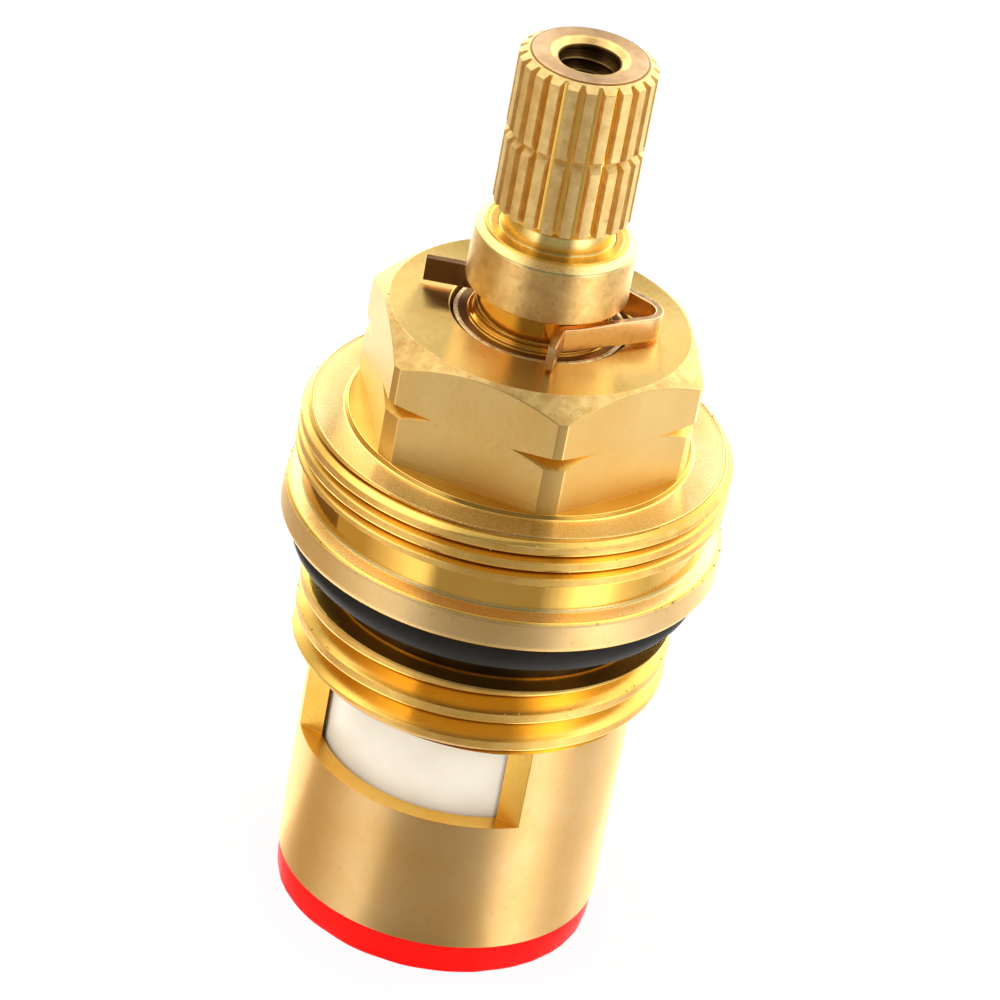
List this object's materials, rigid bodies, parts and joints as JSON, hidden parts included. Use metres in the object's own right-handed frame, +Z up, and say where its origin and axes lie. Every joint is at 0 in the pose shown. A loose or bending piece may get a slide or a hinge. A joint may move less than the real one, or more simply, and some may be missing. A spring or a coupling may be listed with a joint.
{
  "type": "ceramic disc tap cartridge",
  "caption": "Quarter-turn ceramic disc tap cartridge: brass body with spanner hexagon and sleeve windows, splined spindle, retaining clip, body O-ring and bottom seal.",
  "frame": {"origin": "Centre of the bottom seal's underside", "axes": "+Z runs up the spindle, -Y is square to one flat of the hexagon, and the sleeve's windows look 9 degrees off -Y and +Y"},
  "size_m": [0.0246, 0.0246, 0.0538],
  "materials": {
    "body_brass": "turned",
    "copper_strip": "satin",
    "black_rubber": "satin",
    "red_silicone": "satin",
    "white_ceramic": "satin",
    "white_plastic": "matte"
  },
  "bodies": {
    "body": {"housing": "body_brass", "body_o_ring": "black_rubber", "bottom_seal": "red_silicone", "seal_support_ring": "white_plastic", "fixed_disc": "white_ceramic", "thrust_washer": "white_plastic"},
    "spindle": {"spindle": "body_brass", "spindle_o_ring_upper": "black_rubber", "spindle_o_ring_lower": "black_rubber", "retaining_clip": "copper_strip"},
    "disc": {"moving_disc": "white_ceramic"}
  },
  "joints": [
    {"name": "spindle_turn", "type": "hinge", "parent": "body", "child": "spindle", "pos_m": [0, 0, 0.03], "axis": [0, 0, 1], "range_deg": [0, 90]},
    {"name": "disc_turn", "type": "hinge", "parent": "body", "child": "disc", "pos_m": [0, 0, 0.0128], "axis": [0, 0, 1], "range_deg": [0, 90]}
  ],
  "couplings": [
    {"joint": "disc_turn", "follows": "spindle_turn", "ratio": 1}
  ]
}
